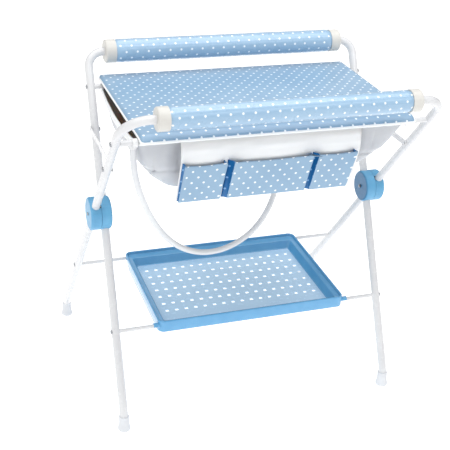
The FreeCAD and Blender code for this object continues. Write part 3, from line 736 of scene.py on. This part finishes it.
# ---- soft bath ---------------------------------------------------------------------------
BATH_RIM_X = (-0.356, 0.349)
BATH_WAIST_X = (-0.325, 0.294)
BATH_FLOOR_X = (-0.272, 0.216)
BATH_WAIST_Y = (-0.234, 0.098)
BATH_FLOOR_Y = (-0.203, 0.060)
BATH_WAIST_Z = 0.724
BATH_FLOOR_Z = 0.677
RIM_CORNER, WAIST_CORNER, FLOOR_CORNER = 0.012, 0.045, 0.05
WAIST_FROM, WAIST_TO = 0.5, 0.85       # the wall turns round the waist between these shares
RIM_SAG = 0.012
RIM_BOW = 0.005                        # the side edges stand out past the top's underboard
HEM_DROP = 0.011
HEM_THICK = 0.0028
HEM_R = 0.0088                         # the fabric lies this far round the axis of a bar
HEM_GATHER = 0.0006
HEM_UNEVEN = 0.0008
HINGE_FROM, HINGE_TO = 0.284, 0.316    # the rear hem leaves the hinges free
BATH_FRONT_Y = FRONT_BAR.y - HUB.y + 0.0085
BATH_REAR_Y = REAR_BAR.y - HUB.y - 0.0085
BATH_MID_Y = -0.09
BATH_DRAIN = (0.082, -0.062)
DRAIN_R = 0.012
FLOOR_DIP = 0.006
BATH_COLUMNS, BATH_LEVELS, FLOOR_RINGS = 560, 44, 10
SHEET_THICK = 0.0012                   # the bath's and the pocket panel's fabric
SLANT = 1.4                            # height counts this much more along the cloth
WRINKLE_DEEP, WRINKLE_AT, WRINKLE_WIDE = 0.007, 0.60, 0.04
WRINKLE_FROM, WRINKLE_OVER = 0.16, 0.08
FULLNESS, FULL_FROM, FULL_OVER = 0.004, 0.28, 0.04
WAVE_SIZE, WAVE_HIGH = 0.085, 0.005
PUSH_UP = 0.3                          # a wall that bulges out also rises by this share
# upright fold lines in the walls: place in X, depth and width
BATH_FOLDS = (
    (-0.316, 0.010, 0.007), (0.270, 0.010, 0.007), (-0.282, -0.007, 0.013), (0.236, -0.007, 0.013),
    (-0.258, 0.009, 0.008), (0.212, 0.009, 0.008), (-0.100, 0.003, 0.016), (0.070, 0.003, 0.016),
)


def bath_loop(x_pair, y_pair, corner, count):
    """count points round a rectangle with round corners, as (x, y)."""
    half_x, half_y = (x_pair[1] - x_pair[0]) / 2, (y_pair[1] - y_pair[0]) / 2
    mid_x, mid_y = sum(x_pair) / 2, sum(y_pair) / 2
    points = []
    for k in range(count):
        s = 4 * k / count
        side, t = int(s), s - int(s)
        along = 2 * t - 1
        x, y = ((along, -1), (1, along), (-along, 1), (-1, -along))[side]
        x, y = mid_x + x * half_x, mid_y + y * half_y
        dx = max(0.0, abs(x - mid_x) - (half_x - corner)) / corner
        dy = max(0.0, abs(y - mid_y) - (half_y - corner)) / corner
        if dx > 0 and dy > 0:
            round_x = half_x - corner + corner * dx * math.sqrt(1 - dy * dy / 2)
            round_y = half_y - corner + corner * dy * math.sqrt(1 - dx * dx / 2)
            x = mid_x + math.copysign(round_x, x - mid_x)
            y = mid_y + math.copysign(round_y, y - mid_y)
        points.append((x, y))
    return points


def rim_place(x, y):
    """A point of the bath's upper edge, which sags and bows out between the two bars."""
    back = (y - BATH_FRONT_Y) / (BATH_REAR_Y - BATH_FRONT_Y)
    loose = 4 * back * (1 - back)
    z = FRONT_BAR.z - 0.003 + (REAR_BAR.z - FRONT_BAR.z) * back - RIM_SAG * loose
    return Vector((x + math.copysign(RIM_BOW, x) * loose, y, z))


def wall_place(rim, waist, floor, t):
    """Down a wall: straight to the waist, round it, and on to the floor."""
    above = rim.lerp(waist, 0.74)
    below = waist.lerp(floor, 0.55)
    if t < WAIST_FROM:
        return rim.lerp(above, t / WAIST_FROM)
    if t < WAIST_TO:
        s = (t - WAIST_FROM) / (WAIST_TO - WAIST_FROM)
        return above.lerp(waist, s).lerp(waist.lerp(below, s), s)
    return below.lerp(floor, (t - WAIST_TO) / (1 - WAIST_TO))


def bath_blend(obj):
    """Bakes the piece's placing into its mesh; the bath's front, which goes with the outer frame, and
    its rear, which goes with the inner frame, are not tied to them.
    """
    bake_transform(obj)


def bath_walls():
    """The walls' loops, from the rim down to the floor, with folds and soft waves."""
    rim = bath_loop(BATH_RIM_X, (BATH_FRONT_Y, BATH_REAR_Y), RIM_CORNER, BATH_COLUMNS)
    waist = bath_loop(BATH_WAIST_X, BATH_WAIST_Y, WAIST_CORNER, BATH_COLUMNS)
    floor = bath_loop(BATH_FLOOR_X, BATH_FLOOR_Y, FLOOR_CORNER, BATH_COLUMNS)
    loops = []
    for level in range(BATH_LEVELS + 1):
        t = level / BATH_LEVELS
        # a wrinkle runs along the walls just above the bottom
        wrinkle = WRINKLE_DEEP * math.exp(-((t - WRINKLE_AT) / WRINKLE_WIDE) ** 2)
        loop = []
        for (rx, ry), (wx, wy), (fx, fy) in zip(rim, waist, floor):
            foot = Vector((fx, fy, BATH_FLOOR_Z))
            p = wall_place(rim_place(rx, ry), Vector((wx, wy, BATH_WAIST_Z)), foot, t)
            crease = 0.0
            for place, depth, width in BATH_FOLDS:
                crease += depth * math.exp(-abs(p.x - place) / width)
            crease += wrinkle * smooth_step((abs(p.x) - WRINKLE_FROM) / WRINKLE_OVER)
            free = math.sin(math.pi * t)
            fullness = FULLNESS * smooth_step((abs(p.x) - FULL_FROM) / FULL_OVER)
            wave = ripple(p.x, p.y, SLANT * p.z, WAVE_SIZE, WAVE_HIGH)
            push = free * (fullness + wave - crease)
            out = Vector((p.x, p.y - BATH_MID_Y, 0.0))
            out.normalize()
            loop.append(hub_point(p.x + out.x * push, p.y + out.y * push, p.z + PUSH_UP * push))
        loops.append(loop)
    return loops


def bath_floor(edge):
    """The floor's loops, from the walls' foot in to the drain."""
    drain = hub_point(*BATH_DRAIN, BATH_FLOOR_Z - 0.001)
    loops = []
    for step in range(1, FLOOR_RINGS + 1):
        t = step / FLOOR_RINGS
        loop = []
        for point in edge:
            angle = math.atan2(point.y - drain.y, point.x - drain.x)
            goal = drain + Vector((DRAIN_R * math.cos(angle), DRAIN_R * math.sin(angle), 0.0))
            p = point.lerp(goal, t)
            dip = FLOOR_DIP * math.sin(math.pi * min(1.0, t * 1.1))
            p.z -= dip + ripple(p.x, p.y, 3, 0.06, 0.0012)
            loop.append(p)
        loops.append(loop)
    return loops


def soft_bath():
    walls = bath_walls()
    form = Form()
    form.rings(walls + bath_floor(walls[-1]))
    for face, cloth in zip(form.faces, form.cloth):
        for corner, index in enumerate(face):
            p = form.points[index]
            cloth[corner] = (p.x, p.y + SLANT * p.z)
    obj = form.piece("bath_sheet", BATH_VINYL, sharp=80)
    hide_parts("bath_tub")
    thicken(obj, SHEET_THICK)
    bath_blend(obj)


def side_hem(name, x):
    """The corded hem along one side edge of the bath, from bar to bar."""
    form = Form()
    steps, sides = 48, 16
    loops = []
    for k in range(steps + 1):
        y = BATH_FRONT_Y + (BATH_REAR_Y - BATH_FRONT_Y) * k / steps
        p = rim_place(x, y)
        drop = HEM_DROP * (0.7 + 0.3 * math.sin(math.pi * k / steps))
        loop = []
        for side in range(sides):
            a = 2 * math.pi * side / sides
            thick = HEM_THICK * (1.25 if math.sin(a) > 0.5 else 0.8)
            across = thick * math.cos(a) + ripple(p.y, a, 7, 0.04, 0.0008)
            loop.append(hub_point(p.x + across, y, p.z - drop * 0.8 + drop * math.sin(a)))
        loops.append(loop)
    form.rings(loops, True, True)
    obj = form.piece(name, TRIM_VINYL, sharp=60)
    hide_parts("bath_tub")
    bath_blend(obj)


def bath_hems():
    """The bath's edges are sewn into sleeves round the two bars and corded at the two sides."""
    low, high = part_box("bath_hem_rear")
    rear = [(low.x, -HINGE_TO), (-HINGE_FROM, HINGE_FROM), (HINGE_TO, high.x)]
    for k, (x0, x1) in enumerate(rear):
        obj = sleeve(f"rear_hem_{k + 1}", TRIM_VINYL, x0, x1, REAR_BAR, HEM_R,
                     HEM_GATHER, HEM_UNEVEN)
        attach(obj, "inner_frame")
        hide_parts("bath_hem_rear")
    low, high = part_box("bath_hem_front")
    panel_low, panel_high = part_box("pocket_backing")
    front = [(low.x, panel_low.x - 0.001), (panel_high.x + 0.001, high.x)]
    for k, (x0, x1) in enumerate(front):
        obj = sleeve(f"front_hem_{k + 1}", TRIM_VINYL, x0, x1, FRONT_BAR, HEM_R,
                     HEM_GATHER, HEM_UNEVEN)
        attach(obj, "outer_frame")
        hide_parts("bath_hem_front")
    for side, x in zip(SIDES, BATH_RIM_X):
        side_hem(f"side_hem_{side}", x)


# ---- pocket panel ------------------------------------------------------------------------
PANEL_OUT = 0.0125                     # the panel hangs this far in front of its bar's axis
PANEL_Y = FRONT_BAR.y - HUB.y - PANEL_OUT
PANEL_KNEE_Z = 0.760
PANEL_FOOT_Z = 0.648
PANEL_BACK = 0.042                     # the foot lies this far behind the knee
PANEL_LEAN = PANEL_BACK / (PANEL_KNEE_Z - PANEL_FOOT_Z)
# each pouch's face in X, and how far its left gusset runs outwards on its way back to the panel
POCKETS = {
    "left": (-0.250, -0.146, 0.001),
    "middle": (-0.126, 0.079, 0.012),
    "right": (0.094, 0.196, 0.010),
}
POCKET_EAR = 0.0045                    # the pouches' corners stand above their front edges
POUCH_DEEP, POUCH_TAPER = 0.020, 0.008
POUCH_CLOSED = 0.015                   # the middle of the opening lies this much closer
POUCH_BELLY = 0.0028
POUCH_DIP = 0.004
POUCH_THICK = 0.0010
GUSSET_TUCK = 0.0030
SEAM = 0.0008                          # the pouches' seams lie this far in front of the panel


def panel_y(z):
    return PANEL_Y + max(0.0, PANEL_KNEE_Z - z) * PANEL_LEAN


def pocket_panel():
    low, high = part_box("pocket_backing")
    bar_y, bar_z = FRONT_BAR.y - HUB.y, FRONT_BAR.z
    turn = 16
    line = []
    for k in range(turn + 1):
        a = math.radians(20 + 160 * k / turn)
        line.append((bar_y + HEM_R * math.cos(a), bar_z + HEM_R * math.sin(a)))
    top_z = bar_z - 0.002
    drop = 30
    for k in range(1, drop + 1):
        z = top_z + (PANEL_FOOT_Z - top_z) * k / drop
        y = panel_y(z)
        settle = smooth_step((top_z - z) / 0.03)
        y = (bar_y - HEM_R) * (1 - settle) + y * settle
        line.append((y, z))
    lengths = [0.0]
    for (y0, z0), (y1, z1) in zip(line, line[1:]):
        lengths.append(lengths[-1] + math.hypot(y1 - y0, z1 - z0))
    rows = len(line) - 1
    form = Form()

    def place(u, v):
        x = low.x + (high.x - low.x) * u
        y, z = line[round(v * rows)]
        loose = smooth_step((top_z - z) / 0.02) * smooth_step((z - PANEL_KNEE_Z + 0.004) / 0.02)
        wave = 0.0006 * math.sin(2 * math.pi * (top_z - z) / 0.021) * loose
        wave += ripple(x, z, 5, 0.09, 0.0012) * loose
        return hub_point(x, y - abs(wave), z)

    def measure(u, v):
        return (low.x + (high.x - low.x) * u, lengths[round(v * rows)])

    form.grid(80, rows, place, measure)
    obj = form.piece("pocket_panel_sheet", TRIM_VINYL, sharp=80)
    thicken(obj, SHEET_THICK)
    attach(obj, "pocket_panel")
    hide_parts("pocket_backing", "pocket_sleeve")


def pockets():
    for name, shape in POCKETS.items():
        pocket(name, *shape)


def pocket(name, x0, x1, splay):
    """A flat pouch on the panel: a bellied face, two side gussets and a bottom."""
    top_z, foot_z = PANEL_KNEE_Z, PANEL_FOOT_Z + 0.001
    rows, columns = 24, max(14, round((x1 - x0) / 0.006))
    form = Form()

    def proud(u, v):
        """How far the face stands out from the panel."""
        flatter = POUCH_CLOSED * (1 - abs(2 * u - 1) ** 6) * (1 - v)
        return POUCH_DEEP - POUCH_TAPER * v - flatter

    def face(u, v):
        z = top_z + (foot_z - top_z) * v
        belly = POUCH_BELLY * math.sin(math.pi * u) * math.sin(math.pi * min(1.0, v * 0.9 + 0.05))
        belly += ripple(x0 + (x1 - x0) * u, z, 9, 0.05, 0.0012) * math.sin(math.pi * u)
        ear = POCKET_EAR * (1 - abs(2 * u - 1) ** 16)
        dip = (POUCH_DIP * math.sin(math.pi * u) + ear) * (1 - v)
        return hub_point(x0 + (x1 - x0) * u, panel_y(z) - proud(u, v) - belly, z - dip)

    def cloth(u, v):
        return (x0 + (x1 - x0) * u, (foot_z - top_z) * v)

    form.grid(columns, rows, face, cloth)

    def bottom(u, v):
        front = face(u, 1.0)
        back = hub_point(x0 + (x1 - x0) * u, panel_y(foot_z) - SEAM, foot_z)
        return front.lerp(back, v)

    foot_deep = POUCH_DEEP - POUCH_TAPER
    form.grid(columns, 3, bottom,
              lambda u, v: (x0 + (x1 - x0) * u, foot_z - top_z - foot_deep * v))
    # the side gussets take the painted-shade copy of the dotted vinyl
    form.slot = 1
    for u_side, x in ((0.0, x0 - splay), (1.0, x1)):
        def gusset(u, v, u_side=u_side, x=x):
            front = face(u_side, v)
            z = top_z + (foot_z - top_z) * v
            back = hub_point(x, panel_y(z) - SEAM, z)
            tuck = GUSSET_TUCK * math.sin(math.pi * u) * (1 if u_side == 0.0 else -1)
            return front.lerp(back, u) + Vector((tuck, 0, 0))

        form.grid(6, rows, gusset, lambda u, v: (POUCH_DEEP * u, (foot_z - top_z) * v))
    obj = form.piece(f"pocket_{name}_pouch", SKY_VINYL, SHADED_DOTTED_VINYL, sharp=50, weld=1e-6)
    thicken(obj, POUCH_THICK)
    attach(obj, "pocket_panel")
    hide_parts("pocket_" + name)


# ---- tray --------------------------------------------------------------------------------
TRAY_LOW, TRAY_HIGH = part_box("tray")
CLIP_OUT = 0.012                       # the clips stand out of the side walls
CLIP_IN = 0.007
CLIP_R = 0.008
CLIP_BORE = 0.00505
TRAY_X = (TRAY_LOW.x + CLIP_OUT, TRAY_HIGH.x - CLIP_OUT)
TRAY_Y = (-0.011, TRAY_BARS_APART + 0.009)
TRAY_UNDER_Z = -0.0190
TRAY_FLOOR_Z = -0.0164
TRAY_CORNER = 0.018
LEDGE_UNDER_Z = 0.0054
SKIRT_BACK = 0.028                     # the side walls' lower part stops this far before the rear bar
REAR_LEDGE = 0.008                     # the ledge is this much wider at the rear
HOLE = 0.010
HOLES_ACROSS = (17, -0.216, 0.228)
HOLES_BACK = (7, 0.087, 0.304)
CORNER_STEPS = 6
# the tray's section as inset and height: up the basin's outside, out under the ledge, down and up
# the outer wall, over the rim, down to the ledge, and down the basin's inside to its floor
TRAY_SECTION = [
    (0.0245, -0.0190), (0.0235, -0.0185), (0.0230, -0.0170), (0.0182, 0.0040), (0.0176, 0.0052),
    (0.0165, 0.0054), (0.0040, 0.0054), (0.0028, 0.0050), (0.0024, 0.0036), (0.0024, -0.0150),
    (0.0020, -0.0158), (0.0012, -0.0160), (0.0004, -0.0158), (0.0000, -0.0150), (0.0000, 0.0135),
    (0.0004, 0.0155), (0.0014, 0.0167), (0.0028, 0.0170), (0.0042, 0.0166), (0.0050, 0.0154),
    (0.0052, 0.0140), (0.0058, 0.0100), (0.0064, 0.0086), (0.0078, 0.0080), (0.0160, 0.0078),
    (0.0185, 0.0072), (0.0196, 0.0058), (0.0248, -0.0140), (0.0262, -0.0157), (0.0290, -0.0164),
]


def hole_lines(count, first, last):
    """The grid lines along both edges of each row of holes."""
    lines = []
    for k in range(count):
        centre = first + (last - first) * k / (count - 1)
        lines += [centre - HOLE / 2, centre + HOLE / 2]
    return lines


def tray_shape():
    """The moulding without its clips, with square holes left out of a grid for the floor."""
    x_lines = hole_lines(*HOLES_ACROSS)
    y_lines = hole_lines(*HOLES_BACK)
    columns = len(x_lines) + 2 * CORNER_STEPS + 1
    rows = len(y_lines) + 2 * CORNER_STEPS + 1

    def axis(k, lines, low, high, corner):
        """A grid line's place, and how far it lies into a corner, from 0 to 1."""
        last = len(lines) + 2 * CORNER_STEPS + 1
        if k <= CORNER_STEPS:
            return low + corner, k / CORNER_STEPS - 1
        if k >= last - CORNER_STEPS:
            return high - corner, 1 - (last - k) / CORNER_STEPS
        return lines[k - CORNER_STEPS - 1], 0.0

    def place(i, j, inset, z):
        corner = max(0.008, TRAY_CORNER - 0.75 * inset)
        rear = TRAY_Y[1] - inset - REAR_LEDGE * smooth_step((inset - 0.008) / 0.008)
        x, a = axis(i, x_lines, TRAY_X[0] + inset, TRAY_X[1] - inset, corner)
        y, b = axis(j, y_lines, TRAY_Y[0] + inset, rear, corner)
        x += corner * a * math.sqrt(1 - b * b / 2)
        y += corner * b * math.sqrt(1 - a * a / 2)
        if inset < 0.004 and y > TRAY_BARS_APART - SKIRT_BACK:
            z = max(z, LEDGE_UNDER_Z)
        return Vector((x, y, z))

    border = grid_border(columns, rows)
    form = Form()
    form.rings([[place(i, j, inset, z) for i, j in border] for inset, z in TRAY_SECTION])
    inset = TRAY_SECTION[-1][0]

    def is_hole(i, j):
        across, along = i - CORNER_STEPS - 1, j - CORNER_STEPS - 1
        inside = 0 <= across < len(x_lines) - 1 and 0 <= along < len(y_lines) - 1
        return inside and across % 2 == 0 and along % 2 == 0

    # the floor takes the lighter copy of the tray's blue: painted light
    form.slot = 1
    for z in (TRAY_FLOOR_Z, TRAY_UNDER_Z):
        form.grid(columns, rows,
                  lambda u, v, z=z: place(round(u * columns), round(v * rows), inset, z),
                  lambda u, v: (u, v), skip=is_hole)
    for i in range(columns):
        for j in range(rows):
            if is_hole(i, j):
                corners = ((i, j), (i + 1, j), (i + 1, j + 1), (i, j + 1))
                form.rings([[place(a, b, inset, z) for a, b in corners]
                            for z in (TRAY_FLOOR_Z, TRAY_UNDER_Z)])
    form.rings([[place(i, j, level, TRAY_UNDER_Z) for i, j in border]
                for level in (inset, TRAY_SECTION[0][0])])
    form.slot = 0
    return form


def tray():
    form = tray_shape()
    turns = [math.pi * k / 12 for k in range(13)]
    clip = [(-CLIP_R * math.cos(a), CLIP_R * math.sin(a)) for a in turns]
    clip += [(CLIP_BORE * math.cos(a), CLIP_BORE * math.sin(a)) for a in turns]
    form.prism(clip, TRAY_X[0] - CLIP_OUT, TRAY_X[0] + CLIP_IN)
    form.prism(clip, TRAY_X[1] - CLIP_IN, TRAY_X[1] + CLIP_OUT)
    obj = form.piece("tray_moulding", TRAY_PLASTIC, TRAY_FLOOR, sharp=40, weld=1e-6, matrix=ON_TRAY)
    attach(obj, "tray")
    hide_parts("tray")


# ---- floor and light ---------------------------------------------------------------------
FLOOR_WIDE, FLOOR_FACES = 60, 40
# name, place, target, size and power of each softbox
SOFTBOXES = (
    ("key_softbox", (-1.8, -2.4, 2.6), (0, -0.1, 0.7), (1.2, 0.9), 5),
    ("strip_softbox", (0.9, -2.4, 2.3), (0, -0.2, 0.85), (1.9, 0.22), 6),
    ("roll_softbox", (0.1, -0.8, 2.3), (0.0, 0.25, 0.95), (1.9, 0.22), 8),
    ("rear_softbox", (1.3, 3.0, 2.4), (0, 0, 0.6), (2.4, 0.9), 5),
    ("top_softbox", (0.5, 0.35, 3.0), (0, 0, 0.8), (2.4, 1.2), 20),
    ("side_softbox", (2.6, -0.9, 1.9), (0, 0, 0.6), (0.8, 1.4), 3),
)
SUN_POWER, SUN_SPREAD = 0.75, 50
SUN_AIM = (0.25, 0.15, -1.0)
SKY_FROM = (-0.55, -0.45, 0.70)
SKY_WEAK, SKY_STRONG = 0.08, 0.80


def floor():
    form = Form()
    form.grid(FLOOR_FACES, FLOOR_FACES,
              lambda u, v: Vector((FLOOR_WIDE * (u - 0.5), FLOOR_WIDE * (v - 0.5), 0.0)),
              lambda u, v: (u, v))
    finish = Finish("pale_floor", 0.8)
    finish.mottle((0.93, 0.93, 0.93), (0.92, 0.92, 0.92), 1.5)
    finish.shader.inputs["Emission Color"].default_value = (1.0, 1.0, 1.0, 1.0)
    finish.shader.inputs["Emission Strength"].default_value = 0.5
    obj = form.piece("floor", finish.material)


def area_light(name, place, target, size, power):
    data = bpy.data.lights.new(name, "AREA")
    data.shape = "RECTANGLE"
    data.size, data.size_y = size
    data.energy = power
    light = bpy.data.objects.new(name, data)
    light.location = place
    light.rotation_mode = "QUATERNION"
    light.rotation_quaternion = (Vector(target) - Vector(place)).to_track_quat("-Z", "Y")
    bpy.context.scene.collection.objects.link(light)


def studio_sky():
    """Soft light from all round, brightest from high on the left at the front."""
    world = bpy.data.worlds.new("studio")
    world.use_nodes = True
    tree = world.node_tree
    background = tree.nodes["Background"]
    background.inputs["Color"].default_value = (1.0, 1.0, 1.0, 1.0)
    direction = tree.nodes.new("ShaderNodeTexCoord").outputs["Generated"]
    facing = tree.nodes.new("ShaderNodeVectorMath")
    facing.operation = "DOT_PRODUCT"
    facing.inputs[1].default_value = Vector(SKY_FROM).normalized()
    tree.links.new(direction, facing.inputs[0])
    strength = tree.nodes.new("ShaderNodeMapRange")
    strength.inputs["From Min"].default_value = -0.6
    strength.inputs["From Max"].default_value = 1.0
    strength.inputs["To Min"].default_value = SKY_WEAK
    strength.inputs["To Max"].default_value = SKY_STRONG
    tree.links.new(facing.outputs["Value"], strength.inputs["Value"])
    tree.links.new(strength.outputs["Result"], background.inputs["Strength"])
    bpy.context.scene.world = world


def studio_light():
    studio_sky()
    sun_data = bpy.data.lights.new("soft_sun", "SUN")
    sun_data.energy = SUN_POWER
    sun_data.angle = math.radians(SUN_SPREAD)
    sun = bpy.data.objects.new("soft_sun", sun_data)
    sun.rotation_mode = "QUATERNION"
    sun.rotation_quaternion = Vector(SUN_AIM).to_track_quat("-Z", "Y")
    bpy.context.scene.collection.objects.link(sun)
    for softbox in SOFTBOXES:
        area_light(*softbox)
    bpy.context.scene.view_settings.view_transform = "Standard"


studio_camera()
drain_hose()
dress_frame()
rolls()
padded_top()
underboard()
top_piping()
soft_bath()
bath_hems()
pocket_panel()
pockets()
tray()
floor()
studio_light()
